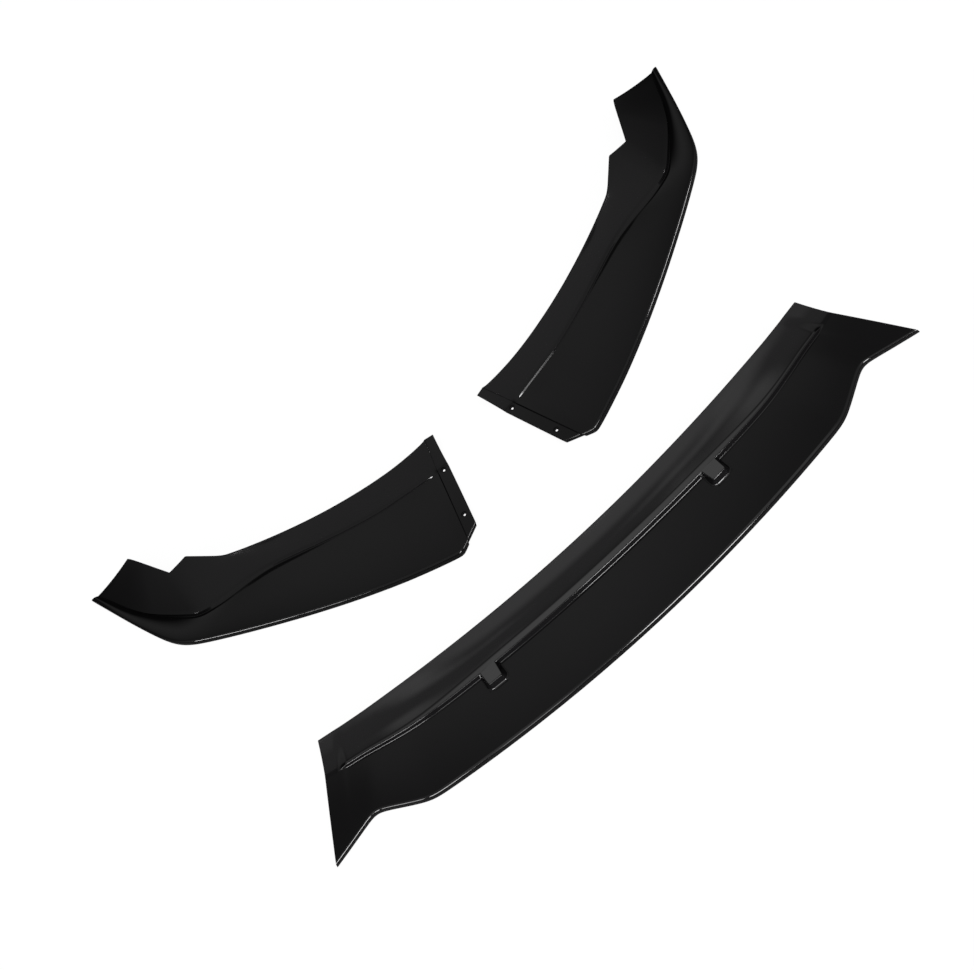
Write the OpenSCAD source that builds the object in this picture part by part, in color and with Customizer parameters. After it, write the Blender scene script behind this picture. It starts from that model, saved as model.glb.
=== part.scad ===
// Front splitter lip in three mouldings, laid out as a set: a wide centre section and two mirrored sides.
// Each section is one thin shell: a turned-down front rim, a blade, a step or crease, and a rising rear band.
// The side sections have a lowered lap flange, which lies under the end of the centre section when fitted.
// X runs across the car, the front of the car faces -Y and Z is up. The origin is the middle of the footprint.

/* [Shell] */
// Wall thickness of the three mouldings
wall = 2.8; // [2.2:0.1:3.2]
// Height of the turned-down front rim
rim_h = 12; // [10:0.5:16]
// Outer radius of the rounded front rim
rim_r = 4; // [3.6:0.2:6]
// Upward crown of the blade between the rim and the rear
blade_crown = 1.2; // [0:0.2:2]
// Height of the rear edge where two sections meet
rear_h = 27.5; // [24:0.5:32]

/* [Centre section] */
// Half the width between the two wing tips
centre_half_w = 491; // [470:0.5:520]
// Depth of the middle, from the front edge to the rear edge
centre_depth = 146.4; // [140:0.2:156]
// Radius of the long bow of the front edge
bow_r = 2160; // [1900:10:2600]
// Radius of the long bow of the rear edge
rear_bow_r = 2040; // [1900:10:2600]
// Where the front edge turns back, from the middle
shoulder_x = 347; // [335:1:355]
// Where the front edge turns out again into the wing, from the middle
notch_x = 411; // [404:1:418]
// Height of the step behind the blade, in the middle
step_h = 7.5; // [5:0.5:9]
// Depth from the front edge to the top of the step, in the middle
step_depth = 101.4; // [96:0.5:104]
// Draft angle of the walls of the step and tabs
draft = 24; // [16:1:28]
// Width of the sloping shelf behind the step
shelf_w = 10; // [8:0.5:11]
// Rearward fall of the shelf and the tops of the tabs
shelf_angle = 16; // [10:1:18]

/* [Tabs] */
// Distance of each tab from the middle
tab_x = 187.5; // [150:0.5:230]
// Width of the top of a tab, at its root
tab_w = 24; // [20:1:32]
// Reach of a tab in front of the step
tab_l = 23; // [18:1:27]

/* [Lap joint] */
// Length of the seam between two sections, from the wing tip to the rear
seam_l = 157; // [154:0.1:160]
// Angle of the seam of the centre section, away from straight back
seam_angle = 28.5; // [27:0.1:30]
// Turn of a side section from its fitted place to its laid-out place
fitted_turn = 12.7; // [11:0.1:14]
// Inward lean of the seam, sideways for each unit of height
seam_lean = 0.26; // [0.15:0.01:0.3]
// Clearance between the lap flange and the centre section
lap_gap = 0.3; // [0.2:0.05:0.5]
// Gap that shows between two fitted sections along the seam
seam_gap = 0.5; // [0.3:0.1:0.8]
// Width of the lap flange at the front
lap_front_w = 24; // [21:0.5:27]
// Width of the lap flange at the crease
lap_crease_w = 19; // [16:0.5:20]
// Width of the lap flange at the rear
lap_rear_w = 13; // [11:0.5:15]
// Places of the screw holes along the seam, from the wing tip
lap_hole_at = [38.5, 115]; // [30:0.5:118]
// Distance of the screw holes from the seam
lap_hole_inset = [11, 9]; // [8:0.5:12]
// Diameter of the screw holes in the lap flange
lap_hole_d = 3.6; // [3.2:0.1:5.5]
// Diameter of the seat round each screw hole
lap_seat_d = 8.6; // [7:0.1:9]
// Diameter of the pilot holes in the bosses of the centre section
pilot_d = 2.6; // [2:0.1:3]

/* [Layout] */
// Place of the left side section: its seam's front end, from the middle of the centre's front edge
left_at = [-102, 259.9]; // [-140:0.1:300]
// Place of the right side section
right_at = [104.4, 260.6]; // [90:0.1:300]
// Extra turn of the right side section
right_turn = 2.35; // [0:0.1:5]

/* [Hidden] */

// Lowest blade top that keeps the wall clear of the floor, and the same with the lap flange below it
blade_low = wall;
lap_drop = wall + lap_gap;
blade_seam = wall + lap_drop;
// Fillets and point counts
edge_fillet = 1;
step_fillet = 0.15;
rim_arc_n = 4;
blade_n = 3;
band_n = 6;
// Depth of the seat round a lap screw, and the boss that enters it
seat_depth = 1.2;
boss_h = 1;
boss_gap = 0.3;
pilot_depth = 3;
// Flat pad under the lap flange, which carries the seat
lap_pad_d = 12.6;
pad_rise = 0.4;
hole_facets = 48;
// Small overlap that keeps joined solids from sharing a face
overlap = 0.05;

// Turns of the front edge: slope gained at the shoulder, slope lost at the notch, and how softly each turns
shoulder_slope = 0.45;
shoulder_soft = 7;
notch_slope = 0.9;
notch_soft = 5;
// The step follows a wider bow, which turns further back towards the ends
step_bow_r = 2860;
step_turn_x = 300;
step_turn_slope = 0.13;
step_turn_soft = 15;
// Height that the step loses towards the ends, and where it ends along the half width, before the lap joint
step_loss = 2;
step_end = [0.915, 0.955];
// Where the crease turns from the line of the step to the crease of the seam, along the half width
crease_end = [0.82, 0.985];
// Narrowest shelf, and where the shelf narrows along the half width
shelf_min = 4.5;
shelf_end = [0.35, 0.8];
// Width of the crease where it has no height
riser_min_w = 1.4;
// Share of the band's rise that is already at its root: middle of the centre section, seam, side section
band_root = 0.2;
band_root_seam = 0.4;
band_root_side = 0.7;
// Distance of the crease from the front end of the seam
seam_crease = 114;
// Where the blade rises from its low middle to the height of the seam, along the half width
blade_rise = [0.35, 0.95];
// Stations along the centre section: middle, from near the shoulder out, end of the step, lap joint
centre_wide_n = 11;
centre_fine_n = 10;
centre_end_n = 4;
centre_lap_n = 2;
fine_from = 328;

// Shape of a side section, in its laid-out place. The lines start at the seam's front end.
// Front edge: corner beside the seam, long bow, round outer corner, tip
side_front = [[8, -3.6], [14, -5.9], [22, -4.6], [56, 7.3], [101, 25], [161, 53], [221, 84.5], [270, 112.4],
    [308, 135], [334, 151.2], [353, 163.5], [367, 173.5], [380, 186], [390, 201], [400, 222], [416, 262.7],
    [430, 302], [441, 333.5]];
// Crease between blade and band, with its height
side_crease = [[-24, 110.5, 5.9], [-17, 111.5, 5.8], [-6, 113.5, 5.6], [20, 118, 4.9], [66, 126.5, 4.1],
    [124, 144.8, 3.7], [176, 164.5, 3.7], [218, 180, 3.8], [250, 187.5, 4], [272, 190.5, 4.1],
    [291, 192.5, 4.2], [307, 194.5, 4.4], [322, 196.5, 4.7], [335, 201, 5], [348, 212, 5], [369, 232, 5.5],
    [397, 263, 7.5], [428.3, 331, 10]];
// Run and height of the riser in the crease: none at the seam, narrow and steep along the section, opened out
// into a facet before the outer corner, steep again round the corner, and dying out at the tip
side_riser = [[riser_min_w, 0], [1.3, 1.2], [1.2, 2.3], [1.2, 2.4], [1.2, 2.4], [1.2, 2.4], [1.2, 2.4],
    [1.2, 2.5], [1.6, 2.7], [4.5, 3.1], [7.5, 3.5], [8.5, 3.7], [7, 3.9], [5, 4.2], [4.5, 4.6], [5, 4.6],
    [5, 4.2], [3.5, 2.8], [riser_min_w, 0.8]];
// Slope of the narrow strip behind the riser
side_shelf_rise = 0.3;
// Rear edge of the whole band, with its height
side_rear = [[-35, 148.3, 26.4], [-28.5, 147.2, 27], [-19, 146.2, 27.6], [10, 147, 28.3], [54, 153.8, 29],
    [108, 166.3, 30.2], [162, 183.2, 31.6], [209, 200.7, 33.6], [246, 217, 36], [258, 223.5, 37],
    [277, 242.5, 38.5], [295.9, 261.4, 40], [309, 274.2, 40.6], [326, 290.5, 40.6], [332.7, 297, 40.2],
    [340, 304, 39.6], [349, 313.5, 38.6], [361, 325, 37]];
// Corners of the notch in the rear edge, and the place in the lists above from which it can cut the band
notch = [[295.9, 261.5], [328, 264.5], [361, 325]];
notch_from = 11.5;
// Share of the band that a side section keeps at the seam, and at the free edge of its lap flange
seam_keep = 0.956;
lap_keep = 0.9;
// Stations between two places of the lists, and across the lap flange from its free edge to the seam
side_steps = 2;
flange_at = [0, 0.5, 1];
// Places over which the lean of the seam dies out
lean_fade = 4;

// Smooth ramp: nothing below x0, one for one above it, turning over a few times the softness
function ramp(x, x0, soft) = soft * ln(1 + exp((x - x0) / soft));
// Smooth rise from nothing at e[0] to one at e[1]
function ease(e, x) = let (u = min(1, max(0, (x - e[0]) / (e[1] - e[0])))) u * u * (3 - 2 * u);
function mix(a, b, f) = a + (b - a) * f;
function bow(x, r) = r - sqrt(r * r - x * x);
function unit(v) = v / norm(v);
function flip(list) = [for (i = [len(list) - 1 : -1 : 0]) list[i]];
function turned(p, a) = [p[0] * cos(a) - p[1] * sin(a), p[0] * sin(a) + p[1] * cos(a)];
// Height of the concave band, as a share of its rise, at a share of its depth
function band_rise(root, f) = root * f + (1 - root) * f * f;

// Curve through a list of guide points, with every corner rounded. Place t counts the points from nothing.
function guide(p, t) = let (
        n = len(p) - 1,
        i = min(n, max(0, round(t))),
        u = t - i + 0.5)
    i == 0 ? mix(p[0], p[1], t)
    : i == n ? mix(p[n - 1], p[n], t - n + 1)
    : (1 - u) * (1 - u) * (p[i - 1] + p[i]) / 2 + 2 * u * (1 - u) * p[i] + u * u * (p[i] + p[i + 1]) / 2;

// Line at the given depth under a line of [distance, height] points, square to it at every point
function sunk(p, before, depth) = [for (i = [0 : len(p) - 1]) let (
        a = i > 0 ? unit(p[i] - p[i - 1]) : before,
        b = i < len(p) - 1 ? unit(p[i + 1] - p[i]) : a,
        t = unit(a == 0 ? b : a + b),
        stretch = a == 0 ? 1 : 1 / (t * b))
    p[i] + depth * stretch * [t[1], -t[0]]];

// Cross-section at a depth under the outer face, as [distance from the front edge, height] points.
// k and r hold distance and height of the crease and of the rear edge, step holds run and height of the step,
// shelf holds width and fall of the shelf, root is the root share of the band's rise, and keep is the share of
// the band that is left.
function section_line(k, r, step, shelf, root, keep, nose_r, depth) = let (
        nose = [for (i = [0 : rim_arc_n]) let (a = 180 - 90 * i / rim_arc_n)
            [nose_r + nose_r * cos(a), rim_h - nose_r + nose_r * sin(a)]],
        foot = k - [step[0], 0],
        blade = [for (i = [1 : blade_n]) let (f = i / (blade_n + 1))
            [mix(nose_r, foot[0] - edge_fillet, f), mix(rim_h, foot[1], f) + 4 * blade_crown * f * (1 - f)]],
        front = concat([[0, 0]], nose, blade),
        top = k + [0, step[1]],
        riser = [foot - [edge_fillet, 0],
            foot + step_fillet * step,
            top - step_fillet * step,
            top + edge_fillet * [1, -shelf[1]]],
        shift = depth * [tan(atan2(step[1], step[0]) / 2), -1],
        root_at = top + shelf[0] * [1, -shelf[1]],
        rear = [for (i = [0 : band_n]) let (f = keep * i / band_n)
            [mix(root_at[0], r[0], f), mix(root_at[1], r[1], band_rise(root, f))]])
    concat(sunk(front, 0, depth), [for (p = riser) p + shift], sunk(rear, unit([1, -shelf[1]]), depth));

// Skin of a shell from closed rings. The first half of a ring is the outer line, the rest the inner line.
module lofted(rings) {
    m = len(rings[0]);
    last = (len(rings) - 1) * m;
    skin = [for (i = [0 : len(rings) - 2], j = [0 : m - 1], half = [0, 1]) let (
            a = i * m + j,
            b = i * m + (j + 1) % m)
        half == 0 ? [a, b, b + m] : [a, b + m, a + m]];
    caps = [for (at = [0, last], j = [0 : m / 2 - 2], half = [0, 1]) let (
            a = at + j,
            b = at + m - 1 - j,
            tri = half == 0 ? [a, b, b - 1] : [a, b - 1, a + 1])
        at == 0 ? tri : flip(tri)];
    polyhedron(points = [for (ring = rings, p = ring) p], faces = concat(skin, caps), convexity = 6);
}

// Centre section: front edge, rear edge at floor height, and top of the step, at the place x along it
function front_y(x) = bow(x, bow_r) + shoulder_slope * ramp(abs(x), shoulder_x, shoulder_soft)
    - notch_slope * ramp(abs(x), notch_x, notch_soft);
tip = [centre_half_w, front_y(centre_half_w)];
seam_rear = tip + seam_l * [-sin(seam_angle), cos(seam_angle)];
rear_flare = seam_rear[1] - centre_depth - bow(seam_rear[0], rear_bow_r);
function rear_y(x) = centre_depth + bow(x, rear_bow_r) + rear_flare * pow(abs(x) / seam_rear[0], 4);
function step_y(x) = step_depth + bow(x, step_bow_r)
    + step_turn_slope * ramp(abs(x), step_turn_x, step_turn_soft);
function step_height(u) = (step_h - step_loss * u * u) * (1 - ease(step_end, u));
function blade_z(u) = mix(blade_low, blade_seam, ease(blade_rise, u));

// Distance from front point f along direction e to the top of the step
function step_s(f, e) = let (first = (step_y(f[0] + e[0] * step_depth) - f[1]) / e[1])
    (step_y(f[0] + e[0] * first) - f[1]) / e[1];
crease_fit = seam_crease / step_s(tip, unit(seam_rear - tip));

// Front, crease and rear point of the centre section in plan, at u from -1 at the left to 1 at the right
function centre_plan(u) = let (
        f = [u * centre_half_w, front_y(u * centre_half_w)],
        r = [u * seam_rear[0], rear_y(u * seam_rear[0])],
        e = unit(r - f))
    [f, f + step_s(f, e) * mix(1, crease_fit, ease(crease_end, abs(u))) * e, r];

function centre_ring(u) = let (
        plan = centre_plan(u),
        f = plan[0],
        e = unit(plan[2] - f),
        side = [e[1], -e[0]],
        h = step_height(abs(u)),
        run = max(h * tan(draft), riser_min_w),
        fade = h / step_h,
        shelf = [mix(shelf_w, shelf_min, ease(shelf_end, abs(u))), tan(shelf_angle) * fade],
        root = mix(band_root, band_root_seam, ease(blade_rise, abs(u))),
        k = [norm(plan[1] - f), blade_z(abs(u))],
        r = [norm(plan[2] - f), rear_h],
        outer = section_line(k, r, [run, h], shelf, root, 1, rim_r, 0),
        inner = section_line(k, r, [run, h], shelf, root, 1, rim_r, wall))
    [for (p = concat(outer, flip(inner)))
        let (at = f + e * p[0] - seam_lean * u * p[1] * side) [at[0], at[1], p[1]]];

function stretch(a, b, n) = [for (i = [1 : n]) mix(a, b, i / n)];
fine_u = fine_from / centre_half_w;
centre_half_u = concat(stretch(0, fine_u, centre_wide_n), stretch(fine_u, step_end[0], centre_fine_n),
    stretch(step_end[0], step_end[1], centre_end_n), stretch(step_end[1], 1, centre_lap_n));
centre_u = concat(-flip(centre_half_u), [0], centre_half_u);

// Solid between two four-sided outlines with the same order of corners, the lower one first
module wedge_block(low, high)
    polyhedron(points = concat(low, high),
        faces = concat([[3, 2, 1, 0], [4, 5, 6, 7]],
            [for (i = [0 : 3], half = [0, 1]) let (j = (i + 1) % 4)
                half == 0 ? [i, j, j + 4] : [i, j + 4, i + 4]]));

// Tab in its own frame: the top edge of the step is at the origin and the tab reaches to -Y.
// inset is nothing for the outer faces and the wall thickness for the hollow under them.
module tab_block(inset, top_drop, back, foot_z) {
    fall = tan(shelf_angle);
    spread = tan(draft);
    front_w = tab_w - tab_l * spread * fall;
    function corner(side, y, w, z) = [side * (w / 2 - inset), y, z];
    function drop(y) = -fall * y - top_drop;
    function low_w(w, y) = w + 2 * spread * (drop(y) - foot_z);
    front = -tab_l + inset;
    low_front = front - spread * (drop(front) - foot_z);
    wedge_block(
        [corner(-1, back, low_w(tab_w, back), foot_z),
            corner(1, back, low_w(tab_w, back), foot_z),
            corner(1, low_front, low_w(front_w, front), foot_z),
            corner(-1, low_front, low_w(front_w, front), foot_z)],
        [corner(-1, back, tab_w, drop(back)), corner(1, back, tab_w, drop(back)),
            corner(1, front, front_w, drop(front)), corner(-1, front, front_w, drop(front))]);
}

// Places a tab at its root on the step
module at_tab(side) {
    u = tab_x / centre_half_w;
    translate([side * tab_x, step_y(tab_x), blade_z(u) + step_height(u)])
        rotate(side * asin(tab_x / step_bow_r)) children();
}

// Places things on the lap joint: origin at the front end of the seam, Y along the seam, X outwards
module at_lap_holes(angle)
    for (i = [0, 1]) rotate(angle) translate([-lap_hole_inset[i], lap_hole_at[i], 0]) children(i);

// Height of the blade's top face over the lap screws
function seam_z(s) = let (f = min(1, (s - rim_r) / (seam_crease - rim_r)))
    mix(rim_h, blade_seam, f) + 4 * blade_crown * f * (1 - f);
lap_hole_z = [for (s = lap_hole_at) seam_z(s)];

module boss(z)
    translate([0, 0, z - wall - boss_h])
        cylinder(d = lap_seat_d - 2 * boss_gap, h = boss_h + wall / 2, $fn = hole_facets);

module pilot(z)
    translate([0, 0, z - wall - boss_h - overlap])
        cylinder(d = pilot_d, h = pilot_depth, $fn = hole_facets);

module both_ends()
    for (side = [0, 1]) mirror([side, 0, 0]) translate(tip) children();

module centre_section()
    color([0.09, 0.09, 0.1]) place_centre()
        difference() {
            union() {
                lofted([for (u = centre_u) centre_ring(u)]);
                for (side = [-1, 1]) at_tab(side) tab_block(0, overlap, wall, -step_h - overlap);
                both_ends() at_lap_holes(seam_angle) {
                    boss(lap_hole_z[0]);
                    boss(lap_hole_z[1]);
                }
            }
            for (side = [-1, 1]) at_tab(side) tab_block(wall, wall + overlap, wall / 2, -step_h - 2 * wall);
            both_ends() at_lap_holes(seam_angle) {
                pilot(lap_hole_z[0]);
                pilot(lap_hole_z[1]);
            }
        }

// Side section. The seam comes from the lap joint, the rest from the lists.
side_seam_angle = seam_angle - fitted_turn;
seam_dir = [-sin(side_seam_angle), cos(side_seam_angle)];
seam_side = [seam_dir[1], -seam_dir[0]];
seam_rear_s = mix(seam_crease + shelf_min, seam_l, seam_keep);
seam_rear_z = mix(blade_seam, rear_h, band_rise(band_root_seam, seam_keep));
body_front = concat([seam_gap * seam_side], side_front);
body_crease = concat([concat(seam_crease * seam_dir + seam_gap * seam_side, [blade_seam])], side_crease);
body_rear = concat([concat(seam_rear_s * seam_dir + seam_gap * seam_side, [seam_rear_z])], side_rear);

// Ring of a side section between front point f, crease k and rear edge r. drop lowers the outer line and
// inner_drop the inner line.
function side_ring(f, k, r, riser, root, keep, lean, drop, inner_drop) = let (
        k2 = [k[0], k[1]],
        r2 = [r[0], r[1]],
        a = unit(k2 - f),
        b = unit(r2 - k2),
        dk = norm(k2 - f),
        kp = [dk, k[2]],
        rp = [dk + norm(r2 - k2), r[2]],
        shelf = [shelf_min, -side_shelf_rise * min(1, riser[1])],
        outer = section_line(kp, rp, riser, shelf, root, keep, rim_r + drop, drop),
        inner = section_line(kp, rp, riser, shelf, root, keep, rim_r + inner_drop, inner_drop + wall))
    [for (p = concat(outer, flip(inner))) let (
            at = (p[0] < dk ? f + a * p[0] : k2 + b * (p[0] - dk)) - seam_lean * lean * p[1] * seam_side)
        [at[0], at[1], p[1]]];

// Ring of the lap flange, from its free edge at 0 to the seam at 1. The flange fits under the end of the centre
// section, so its front, crease and rear lines are those of the centre section, turned into the laid-out place.
function flange_ring(w) = let (
        at = [for (i = [0 : 2]) let (
                width = [lap_front_w, lap_crease_w, lap_rear_w][i],
                u = 1 - (1 - w) * width / centre_plan(1)[i][0])
            turned(centre_plan(u)[i] - tip, -fitted_turn)],
        k = concat(at[1], [blade_seam]),
        r = concat(at[2], [rear_h]))
    side_ring(at[0], k, r, side_riser[0], band_root_seam, mix(lap_keep, seam_keep, w), 1, lap_drop, lap_drop);

// Share of the band from crease k towards rear edge r that the notch side from a to b leaves
function left_share(k, r, a, b) = cross(a - k, b - a) / cross(r - k, b - a);

// Ring of the body at place t. At the seam its inner line is that of the flange, so the wall is closed there.
function body_ring(t) = let (
        f = guide(body_front, t),
        k = guide(body_crease, t),
        r = guide(body_rear, t),
        k2 = [k[0], k[1]],
        r2 = [r[0], r[1]],
        keep = t < notch_from ? 1
            : min(1, max(left_share(k2, r2, notch[0], notch[1]), left_share(k2, r2, notch[1], notch[2]))),
        lean = 1 - ease([0, lean_fade], t),
        root = mix(band_root_seam, band_root_side, 1 - lean))
    side_ring(f, k, r, guide(side_riser, t), root, keep, lean, 0, t == 0 ? lap_drop : 0);

module lap_pad(z)
    translate([0, 0, z - lap_drop - wall])
        cylinder(d = lap_pad_d, h = wall - seat_depth + pad_rise, $fn = hole_facets);

module seat_and_hole(z) {
    translate([0, 0, z - lap_drop - seat_depth])
        cylinder(d = lap_seat_d, h = rim_h, $fn = hole_facets);
    translate([0, 0, z - lap_drop - 2 * wall])
        cylinder(d = lap_hole_d, h = rim_h, $fn = hole_facets);
}

module side_moulding() {
    last = len(body_front) - 1;
    difference() {
        union() {
            lofted(concat([for (w = flange_at) flange_ring(w)],
                [for (i = [0 : last * side_steps]) body_ring(i / side_steps)]));
            at_lap_holes(side_seam_angle) {
                lap_pad(lap_hole_z[0]);
                lap_pad(lap_hole_z[1]);
            }
        }
        at_lap_holes(side_seam_angle) {
            seat_and_hole(lap_hole_z[0]);
            seat_and_hole(lap_hole_z[1]);
        }
    }
}

// The set's footprint reaches from the front of the centre section to the tips of the side sections
side_tip = side_front[len(side_front) - 1];
left_tip = [left_at[0] - side_tip[0], left_at[1] + side_tip[1]];
right_tip = right_at + turned(side_tip, right_turn);
footprint_mid = [(left_tip[0] + right_tip[0]) / 2, max(left_tip[1], right_tip[1]) / 2];

module place_centre() translate(-footprint_mid) children();

module left_section()
    color([0.09, 0.09, 0.1]) translate(left_at - footprint_mid) mirror([1, 0, 0]) side_moulding();

module right_section()
    color([0.09, 0.09, 0.1]) translate(right_at - footprint_mid) rotate(right_turn) side_moulding();

centre_section();
left_section();
right_section();
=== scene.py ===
import math
import bpy
import bmesh
from mathutils import Matrix, Vector


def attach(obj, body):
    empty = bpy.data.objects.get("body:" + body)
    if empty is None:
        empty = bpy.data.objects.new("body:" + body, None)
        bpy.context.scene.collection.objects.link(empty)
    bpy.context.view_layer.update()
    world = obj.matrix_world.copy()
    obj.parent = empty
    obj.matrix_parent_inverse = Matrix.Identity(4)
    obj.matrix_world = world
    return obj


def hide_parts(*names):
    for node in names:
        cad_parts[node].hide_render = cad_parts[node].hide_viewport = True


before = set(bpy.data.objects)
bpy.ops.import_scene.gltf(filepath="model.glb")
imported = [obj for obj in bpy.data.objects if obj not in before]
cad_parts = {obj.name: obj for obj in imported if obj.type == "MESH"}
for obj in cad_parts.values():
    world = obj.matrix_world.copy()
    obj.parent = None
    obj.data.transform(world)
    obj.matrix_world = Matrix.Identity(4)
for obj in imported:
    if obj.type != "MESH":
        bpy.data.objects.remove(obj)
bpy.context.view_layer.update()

MM = 0.001

# Sizes in millimetres and angles in radians, the same as in the solids.
# Cross-section: wall, rim height, radius of the nose, crown of the blade, height of the rear edge
WALL, RIM_H, RIM_R, CROWN, REAR_H = 2.8, 12.0, 4.0, 1.2, 27.5
# Centre section in plan: front edge with its shoulders and notches, and rear edge
HALF_W, DEPTH, BOW_R, REAR_BOW_R, FLARE_POWER = 491.0, 146.4, 2160.0, 2040.0, 4
SHOULDER_X, SHOULDER_SLOPE, SHOULDER_SOFT = 347.0, 0.45, 7.0
NOTCH_X, NOTCH_SLOPE, NOTCH_SOFT = 411.0, 0.9, 5.0
# Step: its riser and the shelf on top of it, and its line in plan
STEP_H, STEP_LOSS, STEP_DEPTH, DRAFT, RISER_MIN = 7.5, 2.0, 101.4, math.radians(24), 1.4
SHELF_W, SHELF_MIN, SHELF_ANGLE = 10.0, 4.5, math.radians(16)
STEP_BOW_R, STEP_TURN_X, STEP_TURN_SLOPE, STEP_TURN_SOFT = 2860.0, 300.0, 0.13, 15.0
# Shares of the half width over which the step ends, the crease turns to its place at the seam, the shelf
# narrows and the blade rises
STEP_END, CREASE_END, SHELF_END, BLADE_RISE = (0.915, 0.955), (0.82, 0.985), (0.35, 0.8), (0.35, 0.95)
# Tab: place, width, length, and the rounding of its corners, top edge and foot
TAB_X, TAB_W, TAB_L, TAB_CORNER, TAB_EDGE, TAB_FOOT = 187.5, 24.0, 23.0, 2.5, 0.9, 1.8
# Seam between the centre and a side section, and the lap flange that runs on under the centre section
SEAM_L, SEAM_ANGLE, FITTED_TURN, SEAM_LEAN = 157.0, math.radians(28.5), math.radians(12.7), 0.26
SEAM_CREASE, LEAN_FADE, SIDE_SHELF_RISE = 114.0, 4.0, 0.3
LAP_GAP, SEAM_GAP, LAP_WIDTHS, LAP_KEEP, SEAM_KEEP = 0.3, 0.5, (24.0, 19.0, 13.0), 0.9, 0.956
LAP_DROP = WALL + LAP_GAP
# Foot of the crease in the middle of the set and at the seam, and the straight share of the rear band's rise
BLADE_LOW, BLADE_SEAM = WALL, WALL + LAP_DROP
BAND_ROOT, BAND_ROOT_SEAM, BAND_ROOT_SIDE = 0.2, 0.4, 0.7
# Screw holes of the flange, and the bosses that take the screws
HOLE_AT, HOLE_INSET, HOLE_D = (38.5, 115.0), (11.0, 9.0), 3.6
SEAT_D, SEAT_DEPTH, PAD_D = 8.6, 1.2, 12.6
PILOT_D, PILOT_DEPTH, BOSS_H, BOSS_GAP = 2.6, 3.0, 1.0, 0.3
# Where the side sections lie
LEFT_AT, RIGHT_AT, RIGHT_TURN = (-102.0, 259.9), (104.4, 260.6), math.radians(2.35)
# Guide points of a side section, from the seam to the tip: (x, y) or (x, y, height); the riser's are
# (run, rise)
SIDE_FRONT = [
    (8, -3.6), (14, -5.9), (22, -4.6), (56, 7.3), (101, 25), (161, 53), (221, 84.5), (270, 112.4),
    (308, 135), (334, 151.2), (353, 163.5), (367, 173.5), (380, 186), (390, 201), (400, 222), (416, 262.7),
    (430, 302), (441, 333.5)]
SIDE_CREASE = [
    (-24, 110.5, 5.9), (-17, 111.5, 5.8), (-6, 113.5, 5.6), (20, 118, 4.9), (66, 126.5, 4.1),
    (124, 144.8, 3.7), (176, 164.5, 3.7), (218, 180, 3.8), (250, 187.5, 4), (272, 190.5, 4.1),
    (291, 192.5, 4.2), (307, 194.5, 4.4), (322, 196.5, 4.7), (335, 201, 5), (348, 212, 5),
    (369, 232, 5.5), (397, 263, 7.5), (428.3, 331, 10)]
SIDE_RISER = [
    (RISER_MIN, 0), (1.3, 1.2), (1.2, 2.3), (1.2, 2.4), (1.2, 2.4), (1.2, 2.4), (1.2, 2.4), (1.2, 2.5),
    (1.6, 2.7), (4.5, 3.1), (7.5, 3.5), (8.5, 3.7), (7, 3.9), (5, 4.2), (4.5, 4.6), (5, 4.6), (5, 4.2),
    (3.5, 2.8), (RISER_MIN, 0.8)]
SIDE_REAR = [
    (-35, 148.3, 26.4), (-28.5, 147.2, 27), (-19, 146.2, 27.6), (10, 147, 28.3), (54, 153.8, 29),
    (108, 166.3, 30.2), (162, 183.2, 31.6), (209, 200.7, 33.6), (246, 217, 36), (258, 223.5, 37),
    (277, 242.5, 38.5), (295.9, 261.4, 40), (309, 274.2, 40.6), (326, 290.5, 40.6), (332.7, 297, 40.2),
    (340, 304, 39.6), (349, 313.5, 38.6), (361, 325, 37)]
# Notch in the rear edge: its corners, and the guide point from which it can cut the band
NOTCH, NOTCH_FROM = [(295.9, 261.5), (328, 264.5), (361, 325)], 11.5

# Fineness of the meshes: steps over the nose, the blade, the rear band and between two guide points
NOSE_N, BLADE_N, BAND_N, GUIDE_N = 12, 14, 22, 10
CENTRE_SPANS = (0, 318, 64), (318, 442, 62), (442, HALF_W, 16)  # (from x, to x, steps)
FLANGE_AT = (0, 0.05, 0.2, 0.4, 0.6, 0.8, 0.95, 1)  # parts of the flange's width
# Fillets at the foot, the top and the root of the rear band: tangent lengths, and steps
CENTRE_FILLETS, SIDE_FILLETS, FILLET_N = (1.1, 1.0, 3.0), (0.7, 0.6, 1.5), (6, 6, 5)
FILLET_LIMIT = 0.45  # of the shorter line at the corner
EDGE_R, EDGE_N = 0.35, 3  # rounding of the free edges
CORNER_N, TAB_EDGE_N, TAB_FOOT_N, DISC_N = 6, 5, 6, 64
# How far a tab lies under the shelf, and how far its fillet and its root go into the blade
TAB_SINK, TAB_FOOT_SINK, TAB_ROOT_SINK = 0.02, 0.15, 1.6
TAB_DEPTH = 8  # about the height of its front
# Rounding inside a tab's hollow, how far a pad goes into the flange, and how far the cutters reach past
# what they cut
HOLLOW_R, PAD_IN, CLEAR, HOLE_ROOM, SEAT_ROOM = 0.6, 0.4, 0.05, 3, 9


def vec(*c):
    return Vector(c)


def ramp(x, x0, soft):
    return soft * math.log(1 + math.exp((x - x0) / soft))


def ease(a, b, x):
    u = min(1.0, max(0.0, (x - a) / (b - a)))
    return u * u * (3 - 2 * u)


def mix(a, b, f):
    return a + (b - a) * f


def bow(x, r):
    return r - math.sqrt(r * r - x * x)


def cross(a, b):
    return a[0] * b[1] - a[1] * b[0]


def turned(p, a):
    return vec(p[0] * math.cos(a) - p[1] * math.sin(a), p[0] * math.sin(a) + p[1] * math.cos(a))


# ---- Cross-section ----
def sunk(p, depth):
    """The line at a depth under a line of (distance, height) points, square to it."""
    out = []
    for i, q in enumerate(p):
        a = (p[i] - p[i - 1]).normalized() if i else None
        b = (p[i + 1] - p[i]).normalized() if i < len(p) - 1 else a
        a = a or b
        t = (a + b).normalized()
        out.append(q + depth / t.dot(b) * vec(t.y, -t.x))
    return out


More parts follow.
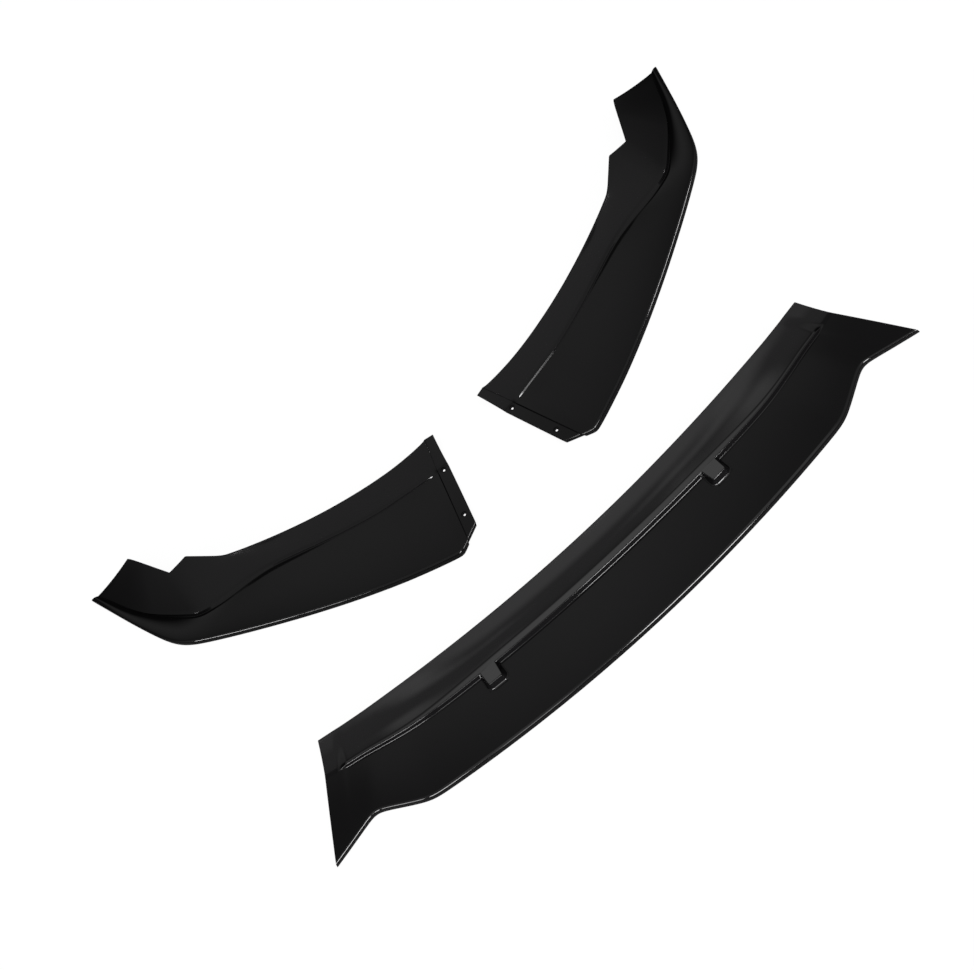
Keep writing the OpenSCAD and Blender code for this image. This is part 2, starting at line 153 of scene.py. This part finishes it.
def filleted(p, sizes):
    """Rounds the corners named in sizes, {index: (tangent length, steps)}."""
    out = []
    for i, q in enumerate(p):
        if i not in sizes:
            out.append(q)
            continue
        length, steps = sizes[i]
        a, b = [q + arm.normalized() * min(length, arm.length * FILLET_LIMIT)
                for arm in (p[i - 1] - q, p[i + 1] - q)]
        for j in range(steps + 1):
            u = j / steps
            out.append((1 - u) ** 2 * a + 2 * u * (1 - u) * q + u * u * b)
    return out


def band_rise(root, f):
    """Rise of the concave rear band at a share f of its run."""
    return root * f + (1 - root) * f * f


def blade_bulge(f):
    return 4 * CROWN * f * (1 - f)


def section(k, r, step, shelf, root, keep, nose_r, depth, fillets):
    """Line of a cross-section at a depth, as (distance, height) points from the front edge.

    k, r: top edge of the step or crease, and rear edge. step: (run, rise) of the riser.
    shelf: (width, slope). root: straight share of the band's rise. keep: share of the band that is there.
    """
    line = [vec(0, 0)]
    for i in range(NOSE_N + 1):
        a = math.pi - math.pi / 2 * i / NOSE_N
        line.append(vec(nose_r + nose_r * math.cos(a), RIM_H - nose_r + nose_r * math.sin(a)))
    foot = vec(k[0] - step[0], k[1])
    for i in range(1, BLADE_N):
        f = i / BLADE_N
        line.append(vec(mix(nose_r, foot.x, f), mix(RIM_H, foot.y, f) + blade_bulge(f)))
    at = len(line)
    top = vec(k[0], k[1] + step[1])
    line += [foot, top]
    root_at = top + shelf[0] * vec(1, -shelf[1])
    for i in range(BAND_N + 1):
        f = keep * i / BAND_N
        line.append(vec(mix(root_at.x, r[0], f), mix(root_at.y, r[1], band_rise(root, f))))
    sizes = {at + i: size for i, size in enumerate(zip(fillets, FILLET_N))}
    return filleted(sunk(line, depth) if depth else line, sizes)


# ---- Centre section ----
def front_y(x):
    return (bow(x, BOW_R) + SHOULDER_SLOPE * ramp(abs(x), SHOULDER_X, SHOULDER_SOFT)
            - NOTCH_SLOPE * ramp(abs(x), NOTCH_X, NOTCH_SOFT))


TIP = vec(HALF_W, front_y(HALF_W))
SEAM_REAR = TIP + SEAM_L * vec(-math.sin(SEAM_ANGLE), math.cos(SEAM_ANGLE))
REAR_FLARE = SEAM_REAR.y - DEPTH - bow(SEAM_REAR.x, REAR_BOW_R)


def rear_y(x):
    return DEPTH + bow(x, REAR_BOW_R) + REAR_FLARE * (abs(x) / SEAM_REAR.x) ** FLARE_POWER


def step_y(x):
    return STEP_DEPTH + bow(x, STEP_BOW_R) + STEP_TURN_SLOPE * ramp(abs(x), STEP_TURN_X, STEP_TURN_SOFT)


def step_height(u):
    """Height of the riser at a share u of the half width."""
    return (STEP_H - STEP_LOSS * u * u) * (1 - ease(*STEP_END, u))


def blade_z(u):
    return mix(BLADE_LOW, BLADE_SEAM, ease(*BLADE_RISE, u))


def step_s(f, e):
    """Distance from the front point f along e to the line of the step."""
    first = (step_y(f.x + e.x * STEP_DEPTH) - f.y) / e.y
    return (step_y(f.x + e.x * first) - f.y) / e.y


CREASE_FIT = SEAM_CREASE / step_s(TIP, (SEAM_REAR - TIP).normalized())


def centre_plan(u):
    """Front, crease and rear point in plan."""
    f = vec(u * HALF_W, front_y(u * HALF_W))
    r = vec(u * SEAM_REAR.x, rear_y(u * SEAM_REAR.x))
    e = (r - f).normalized()
    fit = mix(1, CREASE_FIT, ease(*CREASE_END, abs(u)))
    return f, f + step_s(f, e) * fit * e, r


def centre_ring(u):
    """Closed line round the wall at a share u of the half width."""
    w = abs(u)
    f, k, r = centre_plan(u)
    e = (r - f).normalized()
    side = vec(e.y, -e.x)
    h = step_height(w)
    step = (max(h * math.tan(DRAFT), RISER_MIN), h)
    shelf = (mix(SHELF_W, SHELF_MIN, ease(*SHELF_END, w)), math.tan(SHELF_ANGLE) * h / STEP_H)
    root = mix(BAND_ROOT, BAND_ROOT_SEAM, ease(*BLADE_RISE, w))
    outer, inner = [
        section(((k - f).length, blade_z(w)), ((r - f).length, REAR_H), step, shelf, root, 1, RIM_R, depth,
                CENTRE_FILLETS)
        for depth in (0, WALL)]
    ring = []
    for p in outer + inner[::-1]:
        at = f + e * p.x - SEAM_LEAN * u * p.y * side
        ring.append((at.x, at.y, p.y))
    return ring


# ---- Side section ----
SIDE_SEAM = SEAM_ANGLE - FITTED_TURN
SEAM_DIR = vec(-math.sin(SIDE_SEAM), math.cos(SIDE_SEAM))
SEAM_SIDE = vec(SEAM_DIR.y, -SEAM_DIR.x)
SEAM_REAR_S = mix(SEAM_CREASE + SHELF_MIN, SEAM_L, SEAM_KEEP)
SEAM_REAR_Z = mix(BLADE_SEAM, REAR_H, band_rise(BAND_ROOT_SEAM, SEAM_KEEP))
SEAM_OFF = SEAM_GAP * SEAM_SIDE
BODY_FRONT = [SEAM_OFF] + [vec(*p) for p in SIDE_FRONT]
BODY_CREASE = [vec(*(SEAM_CREASE * SEAM_DIR + SEAM_OFF), BLADE_SEAM)] + [vec(*p) for p in SIDE_CREASE]
BODY_REAR = [vec(*(SEAM_REAR_S * SEAM_DIR + SEAM_OFF), SEAM_REAR_Z)] + [vec(*p) for p in SIDE_REAR]
BODY_RISER = [vec(*p) for p in SIDE_RISER]


def guide(p, t):
    """Curve through guide points with every corner rounded, as in the solids."""
    n = len(p) - 1
    i = min(n, max(0, math.floor(t + 0.5)))
    u = t - i + 0.5
    if i == 0:
        return mix(p[0], p[1], t)
    if i == n:
        return mix(p[n - 1], p[n], t - n + 1)
    return (1 - u) ** 2 * (p[i - 1] + p[i]) / 2 + 2 * u * (1 - u) * p[i] + u * u * (p[i] + p[i + 1]) / 2


def side_ring(f, k, r, riser, root, keep, lean, drop, inner_drop):
    """Closed line round the wall of a side section, sunk by drop outside and by inner_drop inside."""
    k2, r2 = k.to_2d(), r.to_2d()
    a, b = (k2 - f).normalized(), (r2 - k2).normalized()
    dk = (k2 - f).length
    dr = dk + (r2 - k2).length
    shelf = (SHELF_MIN, -SIDE_SHELF_RISE * min(1, riser[1]))
    outer, inner = [
        section((dk, k.z), (dr, r.z), riser, shelf, root, keep, RIM_R + d, d + w, SIDE_FILLETS)
        for d, w in ((drop, 0), (inner_drop, WALL))]
    ring = []
    for p in outer + inner[::-1]:
        at = (f + a * p.x if p.x < dk else k2 + b * (p.x - dk)) - SEAM_LEAN * lean * p.y * SEAM_SIDE
        ring.append((at.x, at.y, p.y))
    return ring


def flange_ring(w):
    """Lap flange, from its free edge at 0 to the seam at 1, along the lines of the centre section's end."""
    at = []
    for i, width in enumerate(LAP_WIDTHS):
        u = 1 - (1 - w) * width / centre_plan(1)[i].x
        at.append(turned(centre_plan(u)[i] - TIP, -FITTED_TURN))
    return side_ring(at[0], vec(*at[1], BLADE_SEAM), vec(*at[2], REAR_H), BODY_RISER[0], BAND_ROOT_SEAM,
                     mix(LAP_KEEP, SEAM_KEEP, w), 1, LAP_DROP, LAP_DROP)


def left_share(k, r, a, b):
    """Share of the line from k to r that lies before the line through a and b."""
    return cross(a - k, b - a) / cross(r - k, b - a)


def body_ring(t):
    """Closed line round the wall at guide point t."""
    f, k, r = guide(BODY_FRONT, t), guide(BODY_CREASE, t), guide(BODY_REAR, t)
    keep = 1.0
    if t >= NOTCH_FROM:
        n = [vec(*q) for q in NOTCH]
        k2, r2 = k.to_2d(), r.to_2d()
        keep = min(1.0, max(left_share(k2, r2, n[0], n[1]), left_share(k2, r2, n[1], n[2])))
    lean = 1 - ease(0, LEAN_FADE, t)
    root = mix(BAND_ROOT_SEAM, BAND_ROOT_SIDE, 1 - lean)
    return side_ring(f, k, r, guide(BODY_RISER, t), root, keep, lean, 0, LAP_DROP * max(0, 1 - 2 * t))


# ---- Meshes ----
def obj_from(name, verts, faces):
    mesh = bpy.data.meshes.new(name)
    mesh.from_pydata([tuple(c * MM for c in v) for v in verts], [], faces)
    mesh.validate()
    ob = bpy.data.objects.new(name, mesh)
    bpy.context.scene.collection.objects.link(ob)
    return ob


def loft(name, rings):
    """A shell from closed rings: the first half of a ring is the outer line, the rest the inner line."""
    m, last = len(rings[0]), (len(rings) - 1) * len(rings[0])
    faces = []
    for i in range(len(rings) - 1):
        for j in range(m):
            a, b = i * m + j, i * m + (j + 1) % m
            faces.append((a, a + m, b + m, b))
    for at in (0, last):
        for j in range(m // 2 - 1):
            quad = (at + j, at + j + 1, at + m - 2 - j, at + m - 1 - j)
            faces.append(quad if at == 0 else quad[::-1])
    return obj_from(name, [p for ring in rings for p in ring], faces)


def bevelled(ob, width, segments, angle=50):
    mod = ob.modifiers.new("edge", "BEVEL")
    mod.width, mod.segments = width * MM, segments
    mod.limit_method, mod.angle_limit = "ANGLE", math.radians(angle)
    mod.use_clamp_overlap = True
    return ob


def prism(name, low, high):
    """Solid between two outlines of as many points each."""
    n = len(low)
    faces = [tuple(range(n))[::-1], tuple(range(n, 2 * n))]
    faces += [(i, (i + 1) % n, (i + 1) % n + n, i + n) for i in range(n)]
    return obj_from(name, low + high, faces)


def disc(name, at, r, z0, z1):
    turns = [2 * math.pi * i / DISC_N for i in range(DISC_N)]
    ring = [(at.x + r * math.cos(a), at.y + r * math.sin(a)) for a in turns]
    return prism(name, *[[(x, y, z) for x, y in ring] for z in (z0, z1)])


def baked(ob):
    """Applies the modifiers."""
    deps = bpy.context.evaluated_depsgraph_get()
    mesh = bpy.data.meshes.new_from_object(ob.evaluated_get(deps))
    ob.modifiers.clear()
    old, ob.data = ob.data, mesh
    bpy.data.meshes.remove(old)
    return ob


def combine(ob, tools, operation):
    for tool in tools:
        mod = ob.modifiers.new("part", "BOOLEAN")
        mod.operation, mod.solver, mod.object = operation, "EXACT", tool
    baked(ob)
    for tool in tools:
        bpy.data.objects.remove(tool)
    return ob


def outward(ob):
    bm = bmesh.new()
    bm.from_mesh(ob.data)
    bmesh.ops.recalc_face_normals(bm, faces=bm.faces)
    bm.to_mesh(ob.data)
    bm.free()
    return ob


def moved(ob, offset, turn=0.0, mirror=False):
    """Mirrors, turns and shifts the mesh itself, so that its object stays at the origin."""
    m = Matrix.Translation(vec(offset[0], offset[1], 0) * MM) @ Matrix.Rotation(turn, 4, "Z")
    if mirror:
        m = m @ Matrix.Scale(-1, 4, (1, 0, 0))
    ob.data.transform(m)
    if mirror:
        ob.data.flip_normals()
    return ob


def smooth(ob, angle=36):
    ob.data.shade_smooth()
    ob.data.set_sharp_from_angle(angle=math.radians(angle))
    mod = ob.modifiers.new("normals", "WEIGHTED_NORMAL")
    mod.keep_sharp, mod.mode, mod.weight = True, "FACE_AREA", 50
    return ob


def at_tab(side, x, y, z):
    """A point from a tab's own frame, with its origin on the top edge of the step. The tab reaches to -Y."""
    q = turned((x, y), side * math.asin(TAB_X / STEP_BOW_R))
    u = TAB_X / HALF_W
    return (side * TAB_X + q.x, step_y(TAB_X) + q.y, blade_z(u) + step_height(u) + z)


TAB_FALL, TAB_SPREAD = math.tan(SHELF_ANGLE), math.tan(DRAFT)
TAB_FRONT_W = TAB_W - TAB_L * TAB_SPREAD * TAB_FALL


def tab_hollow(side):
    """What is taken out of a tab from below, one wall inside it."""
    foot_z, back, front = -STEP_H - 2 * WALL, WALL / 2, -TAB_L + WALL

    def corner(s, y, w, low):
        high_z = -TAB_FALL * y - WALL
        out = TAB_SPREAD * (high_z - foot_z) if low else 0
        z = foot_z if low else high_z
        return at_tab(side, s * (w / 2 - WALL + out), y - (out if y < 0 else 0), z)
    corners = ((-1, back, TAB_W), (1, back, TAB_W), (1, front, TAB_FRONT_W), (-1, front, TAB_FRONT_W))
    low, high = [[corner(*c, is_low) for c in corners] for is_low in (True, False)]
    return outward(bevelled(prism("hollow", low, high), HOLLOW_R, 4, 20))


def blade_under_tab(y):
    """Height of the blade in front of the step at a tab, above the top edge of the step."""
    u = TAB_X / HALF_W
    f, k, _ = centre_plan(u)
    foot = (k - f).length - step_height(u) * math.tan(DRAFT)
    g = min(1, (foot + y - RIM_R) / (foot - RIM_R))
    return mix(RIM_H, blade_z(u), g) + blade_bulge(g) - blade_z(u) - step_height(u)


def arc(a, b, c, n):
    """Points of a rounded corner b between a and c."""
    return [[(1 - u) ** 2 * p + 2 * u * (1 - u) * q + u * u * r for p, q, r in zip(a, b, c)]
            for u in [i / n for i in range(n + 1)]]


def tab_edge(_):
    return arc((-TAB_EDGE, 0), (0, 0), (TAB_EDGE * TAB_SPREAD, TAB_EDGE), TAB_EDGE_N)


def tab_foot(depth):
    return arc((TAB_SPREAD * (depth - TAB_FOOT), depth - TAB_FOOT), (TAB_SPREAD * depth, depth),
               (TAB_SPREAD * depth + TAB_FOOT, depth + TAB_FOOT_SINK), TAB_FOOT_N)


def tab_root(depth):
    return [(TAB_SPREAD * depth + TAB_FOOT, depth + TAB_ROOT_SINK)]


def tab_body(side):
    """Tab with rounded edges and a fillet round its foot: a stack of outlines, open towards the step."""
    plan = [(-1, WALL, -1, 0)]
    for s in (-1, 1):
        for i in range(CORNER_N + 1):
            a = math.radians(90 / CORNER_N * (i if s < 0 else CORNER_N - i))
            plan.append((s, -TAB_L + TAB_CORNER, s * math.cos(a), math.sin(a)))
    plan.append((1, WALL, 1, 0))

    def ring(profile, i):
        out = []
        for s, y, ax, ay in plan:
            w = mix(TAB_W, TAB_FRONT_W, max(0, -y / TAB_L)) / 2
            corner = TAB_CORNER if y < 0 else 0
            top_y = y - TAB_CORNER * ay
            drop = -TAB_FALL * top_y - TAB_SINK
            depth = drop - blade_under_tab(min(0, top_y - TAB_SPREAD * TAB_DEPTH * ay))
            o, d = profile(depth)[i]
            r = corner + o
            out.append(at_tab(side, s * (w - corner) + ax * r, y - ay * r, drop - d))
        return out
    rows = [(tab_edge, TAB_EDGE_N + 1), (tab_foot, TAB_FOOT_N + 1), (tab_root, 1)]
    rings = [ring(profile, i) for profile, n in rows for i in range(n)]
    m = len(plan)
    faces = [tuple(range(m))]
    for i in range(len(rings) - 1):
        faces += [(i * m + j, i * m + (j + 1) % m, (i + 1) * m + (j + 1) % m, (i + 1) * m + j)
                  for j in range(m)]
    faces.append(tuple(range((len(rings) - 1) * m, len(rings) * m))[::-1])
    return outward(obj_from("tab", [p for r in rings for p in r], faces))


def seam_z(s):
    """Height of the blade at the seam, at a distance s from its front end."""
    f = min(1, (s - RIM_R) / (SEAM_CREASE - RIM_R))
    return mix(RIM_H, BLADE_SEAM, f) + blade_bulge(f)


HOLE_Z = [seam_z(s) for s in HOLE_AT]


def span(a, b, n):
    """n even steps from a to b, without b."""
    return [a + (b - a) * i / n for i in range(n)]


# The middle of the set's footprint is the origin
RIGHT_TIP = vec(*RIGHT_AT) + turned(SIDE_FRONT[-1], RIGHT_TURN)
LEFT_TIP = vec(LEFT_AT[0] - SIDE_FRONT[-1][0], LEFT_AT[1] + SIDE_FRONT[-1][1])
MID = vec((LEFT_TIP.x + RIGHT_TIP.x) / 2, max(LEFT_TIP.y, RIGHT_TIP.y) / 2)


def make_centre():
    half = [x for part in CENTRE_SPANS for x in span(*part)] + [HALF_W]
    us = [-x / HALF_W for x in half[:0:-1]] + [x / HALF_W for x in half]
    ob = outward(loft("centre_lip", [centre_ring(u) for u in us]))
    baked(bevelled(ob, EDGE_R, EDGE_N))
    combine(ob, [tab_body(s) for s in (-1, 1)], "UNION")
    combine(ob, [tab_hollow(s) for s in (-1, 1)], "DIFFERENCE")
    bosses, pilots = [], []
    for side in (-1, 1):
        for s, inset, z in zip(HOLE_AT, HOLE_INSET, HOLE_Z):
            q = TIP + turned((-inset, s), SEAM_ANGLE)
            q = vec(side * q.x, q.y)
            end = z - WALL - BOSS_H
            bosses.append(disc("boss", q, SEAT_D / 2 - BOSS_GAP, end, z - WALL / 2))
            pilots.append(disc("pilot", q, PILOT_D / 2, end - CLEAR, end + PILOT_DEPTH - CLEAR))
    combine(ob, bosses, "UNION")
    combine(ob, pilots, "DIFFERENCE")
    return smooth(moved(ob, -MID))


def make_side():
    n = len(BODY_FRONT) - 1
    rings = [flange_ring(w) for w in FLANGE_AT] + [body_ring(t) for t in span(0, n, GUIDE_N * n) + [n]]
    ob = outward(loft("side_lip", rings))
    baked(bevelled(ob, EDGE_R, EDGE_N))
    at = [(turned((-inset, s), SIDE_SEAM), z, z - LAP_DROP)
          for s, inset, z in zip(HOLE_AT, HOLE_INSET, HOLE_Z)]
    pads = [disc("pad", q, PAD_D / 2, top - WALL, top - SEAT_DEPTH + PAD_IN) for q, z, top in at]
    combine(ob, pads, "UNION")
    seats = [disc("seat", q, SEAT_D / 2, top - SEAT_DEPTH, z + SEAT_ROOM) for q, z, top in at]
    holes = [disc("hole", q, HOLE_D / 2, top - 2 * WALL, z + HOLE_ROOM) for q, z, top in at]
    return combine(ob, seats + holes, "DIFFERENCE")


# ---- Shader nodes ----
def maths(nt, op, a, b=None):
    n = nt.nodes.new("ShaderNodeMath")
    n.operation = op
    for i, v in enumerate((a, b)):
        if isinstance(v, (int, float)):
            n.inputs[i].default_value = v
        elif v is not None:
            nt.links.new(v, n.inputs[i])
    return n.outputs[0]


def soft(nt, value, a, b):
    """Smooth rise from 0 at a to 1 at b."""
    n = nt.nodes.new("ShaderNodeMapRange")
    n.interpolation_type = "SMOOTHSTEP"
    n.inputs["From Min"].default_value, n.inputs["From Max"].default_value = a, b
    nt.links.new(value, n.inputs["Value"])
    return n.outputs[0]


# ---- Material: black plastic, slightly uneven in tint, gloss and surface ----
BLACKS = (0.0030, 0.0028, 0.0031, 1), (0.0040, 0.0037, 0.0041, 1)
GLOSS_FROM, GLOSS_TO = (0.3, 0.7), (0.06, 0.1)  # share of the noise, and the roughness there
TINT_NOISE, GLOSS_NOISE, WAVE_NOISE = (6, 3), (35, 4), (90, 2)  # (scale, detail)
WAVE_STRENGTH, WAVE_HEIGHT = 0.04, 0.0004
PLASTIC_IOR = 1.5


def gloss_black():
    mat = bpy.data.materials.new("gloss_black_abs")
    mat.use_nodes = True
    nt = mat.node_tree
    bsdf = nt.nodes["Principled BSDF"]
    coord = nt.nodes.new("ShaderNodeTexCoord")

    def noise(scale, detail):
        n = nt.nodes.new("ShaderNodeTexNoise")
        n.inputs["Scale"].default_value, n.inputs["Detail"].default_value = scale, detail
        nt.links.new(coord.outputs["Object"], n.inputs["Vector"])
        return n.outputs[0]

    tint = nt.nodes.new("ShaderNodeMix")
    tint.data_type = "RGBA"
    tint.inputs["A"].default_value, tint.inputs["B"].default_value = BLACKS
    nt.links.new(noise(*TINT_NOISE), tint.inputs["Factor"])
    nt.links.new(tint.outputs["Result"], bsdf.inputs["Base Color"])
    rough = nt.nodes.new("ShaderNodeMapRange")
    for key, v in zip(("From Min", "From Max", "To Min", "To Max"), GLOSS_FROM + GLOSS_TO):
        rough.inputs[key].default_value = v
    nt.links.new(noise(*GLOSS_NOISE), rough.inputs["Value"])
    nt.links.new(rough.outputs[0], bsdf.inputs["Roughness"])
    bump = nt.nodes.new("ShaderNodeBump")
    bump.inputs["Strength"].default_value = WAVE_STRENGTH
    bump.inputs["Distance"].default_value = WAVE_HEIGHT
    nt.links.new(noise(*WAVE_NOISE), bump.inputs["Height"])
    nt.links.new(bump.outputs["Normal"], bsdf.inputs["Normal"])
    bsdf.inputs["IOR"].default_value = PLASTIC_IOR
    return mat


GLOSS = gloss_black()


# ---- The three sections ----
def dressed(ob, name, node):
    ob.name = ob.data.name = name
    ob.data.materials.clear()
    ob.data.materials.append(GLOSS)
    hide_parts(node)
    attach(ob, "root")
    return ob


side = make_side()
left = bpy.data.objects.new("left_lip", side.data.copy())
bpy.context.scene.collection.objects.link(left)
smooth(moved(left, vec(*LEFT_AT) - MID, 0, True))
smooth(moved(side, vec(*RIGHT_AT) - MID, RIGHT_TURN))
centre = dressed(make_centre(), "centre_lip", "centre_section")
dressed(left, "left_lip", "left_section")
right = dressed(side, "right_lip", "right_section")
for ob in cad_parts.values():
    ob.data.materials.clear()
    ob.data.materials.append(GLOSS)

# ---- Floor: white for the camera, grey in the light that it gives back ----
FLOOR_WHITE, FLOOR_GREY, FLOOR_ROUGH = 0.93, 0.25, 0.9
bpy.ops.mesh.primitive_plane_add(size=30, location=(0, 0, 0))
floor = bpy.context.object
floor.name = "floor"
mat = bpy.data.materials.new("floor")
mat.use_nodes = True
nt = mat.node_tree
bsdf = nt.nodes["Principled BSDF"]
bsdf.inputs["Base Color"].default_value = (FLOOR_GREY, FLOOR_GREY, FLOOR_GREY, 1)
bsdf.inputs["Roughness"].default_value = FLOOR_ROUGH
bsdf.inputs["Specular IOR Level"].default_value = 0.0
path = nt.nodes.new("ShaderNodeLightPath")
bsdf.inputs["Emission Color"].default_value = (1, 1, 1, 1)
white = maths(nt, "MULTIPLY", path.outputs["Is Camera Ray"], FLOOR_WHITE)
nt.links.new(white, bsdf.inputs["Emission Strength"])
floor.data.materials.append(mat)

# ---- World: dim, and white for the camera ----
# Radiance of the dome, of the glow at the back and of what is left
DOME, REAR, REST = 0.3, 0.27, 0.015
# Where they fade, as (none, full) along the unit direction
DOME_Y, DOME_Z, REAR_Y, REAR_X = (0.85, -0.1), (0.1, 0.27), (0.3, 0.7), (0.24, 0.0)
# How far the dome ends before the back, and reaches lower, towards the sides
SIDE_SLANT, SIDE_FROM, SIDE_LOWER = 0.35, (0.33, 0.45), 0.3

world = bpy.data.worlds.new("studio")
bpy.context.scene.world = world
world.use_nodes = True
nt = world.node_tree
nt.nodes.clear()
out = nt.nodes.new("ShaderNodeOutputWorld")
back = nt.nodes.new("ShaderNodeBackground")
nt.links.new(back.outputs[0], out.inputs[0])
coord = nt.nodes.new("ShaderNodeTexCoord")
sep = nt.nodes.new("ShaderNodeSeparateXYZ")
nt.links.new(coord.outputs["Generated"], sep.inputs[0])
X, Y, Z = sep.outputs
across = maths(nt, "ABSOLUTE", X)
# Front and overhead: an even dome that fades out towards the back and, straight ahead, near the floor
slant = maths(nt, "ADD", Y, maths(nt, "MULTIPLY", across, SIDE_SLANT))
height = maths(nt, "ADD", Z, maths(nt, "MULTIPLY", soft(nt, across, *SIDE_FROM), SIDE_LOWER))
dome = maths(nt, "MULTIPLY", soft(nt, slant, *DOME_Y), soft(nt, height, *DOME_Z))
# Back: a narrow glow, which the blades mirror
rear = maths(nt, "MULTIPLY", soft(nt, Y, *REAR_Y), soft(nt, across, *REAR_X))
level = maths(nt, "ADD", maths(nt, "MULTIPLY", dome, DOME), maths(nt, "MULTIPLY", rear, REAR))
level = maths(nt, "ADD", level, REST)
path = nt.nodes.new("ShaderNodeLightPath")
nt.links.new(maths(nt, "MAXIMUM", level, path.outputs["Is Camera Ray"]), back.inputs["Strength"])
back.inputs["Color"].default_value = (1, 1, 1, 1)

# ---- Lamps. Most light one section each, as the photograph joins three separately lit pieces. ----
FAR = 9.0
FADE = (0.5, 0.1)  # none at the edge of a faded lamp, full from there inwards, in parts of its size


def softbox(name, turn, rise, width, height, radiance, piece=None, faded=False):
    """Far box, seen from the pieces at azimuth turn (0 = front) and elevation rise, all in degrees."""
    a, e = math.radians(turn), math.radians(rise)
    at = FAR * vec(math.cos(e) * math.sin(a), -math.cos(e) * math.cos(a), math.sin(e))
    size, size_y = (2 * FAR * math.tan(math.radians(v / 2)) for v in (width, height))
    return lamp_at(name, at, -at, size, size_y, radiance, piece, faded)


def lamp_at(name, at, facing, size, size_y, radiance, piece=None, faded=False):
    """Rectangular lamp of a radiance, for one piece alone if one is given."""
    data = bpy.data.lights.new(name, "AREA")
    data.shape, data.size, data.size_y = "RECTANGLE", size, size_y
    data.energy = radiance * math.pi * size * size_y
    ob = bpy.data.objects.new(name, data)
    bpy.context.scene.collection.objects.link(ob)
    ob.location = at
    ob.rotation_euler = facing.to_track_quat("-Z", "Y").to_euler()
    ob.visible_camera = False
    if piece:
        lit = bpy.data.collections.new(name)
        lit.objects.link(piece)
        ob.light_linking.receiver_collection = lit
    if faded:
        data.use_nodes = True
        nt = data.node_tree
        geo = nt.nodes.new("ShaderNodeNewGeometry")
        sep = nt.nodes.new("ShaderNodeSeparateXYZ")
        nt.links.new(geo.outputs["Parametric"], sep.inputs[0])
        off = [maths(nt, "ABSOLUTE", maths(nt, "SUBTRACT", sep.outputs[i], 0.5)) for i in (0, 1)]
        fade = maths(nt, "MULTIPLY", soft(nt, off[0], *FADE), soft(nt, off[1], *FADE))
        nt.links.new(fade, nt.nodes["Emission"].inputs["Strength"])
    return ob


# Low at the front, which the rounded edges mirror as thin bright lines.
# Far boxes: section, turn, rise, width, height, radiance
BOXES = (
    (centre, 5.5, 13, 13, 20, 23),
    (centre, -11.5, 13, 7, 20, 4),
    (centre, -28.5, 13, 19, 20, 15),
    (centre, -51, 13, 12, 20, 8),
    (left, -58, 5.5, 13, 9, 22),
    (left, -47, 5, 7, 8, 14),
    (right, 58, 5.5, 13, 9, 22),
)
# Near panels that stand on the floor in a row, in metres: section, left edge, right edge, radiance
PANEL_Y, PANEL_H = -0.6, 0.24
PANELS = (
    (left, -0.245, -0.14, 25),
    (left, 0.1, 0.36, 12),
    (right, -0.25, 0.2, 12),
    (right, 0.25, 0.355, 25),
    (right, 0.355, 0.5, 8),
)
# Faded glows, which the rear band, the step and the tabs of the centre section mirror:
# turn, rise, width, height, radiance
GLOWS = {
    "front_glow": (2, 36, 70, 42, 0.43),
    "band_glow_left": (-22, 55, 12, 30, 0.58),
    "band_glow_right": (25, 57, 16, 36, 0.5),
    "overhead_left": (-105, 80.5, 26, 11, 0.5),
    "overhead_right": (97, 79.5, 50, 12, 0.5),
    "rear_glow": (180, 28, 60, 36, 0.8),
    "step_end_glow_left": (-118, 40, 70, 50, 0.27),
    "step_end_glow_right": (122, 40, 70, 50, 0.27),
}
FILL = (0, 84, 37, 37, 0.9)

for piece, *box in BOXES:
    softbox(f"{piece.name}_box", *box, piece)
for piece, x0, x1, radiance in PANELS:
    middle = vec((x0 + x1) / 2, PANEL_Y, PANEL_H / 2)
    lamp_at(f"{piece.name}_panel", middle, vec(0, 1, 0), x1 - x0, PANEL_H, radiance, piece)
for name, glow in GLOWS.items():
    softbox(name, *glow, centre, True)
# Light from above that no surface mirrors
fill = softbox("fill", *FILL)
fill.visible_glossy = False

# ---- Camera: the photograph's viewing angle ----
CAM_AT = Vector((-27.445, -1237.79, 2147.233)) * MM
CAM_RIGHT = (0.7359908, -0.58629187, -0.33849577)
CAM_UP = (0.67699154, 0.63738673, 0.3679954)
CAM_BACK = (0, -0.5, 0.8660254)
cam_data = bpy.data.cameras.new("camera")
cam_data.lens, cam_data.sensor_width = 70, 36
cam_data.clip_start, cam_data.clip_end = 0.1, 50
cam = bpy.data.objects.new("camera", cam_data)
bpy.context.scene.collection.objects.link(cam)
cam.matrix_world = Matrix([*zip(CAM_RIGHT, CAM_UP, CAM_BACK, CAM_AT), (0, 0, 0, 1)])
bpy.context.scene.camera = cam
bpy.context.scene.view_settings.view_transform = "Standard"

bpy.context.view_layer.update()
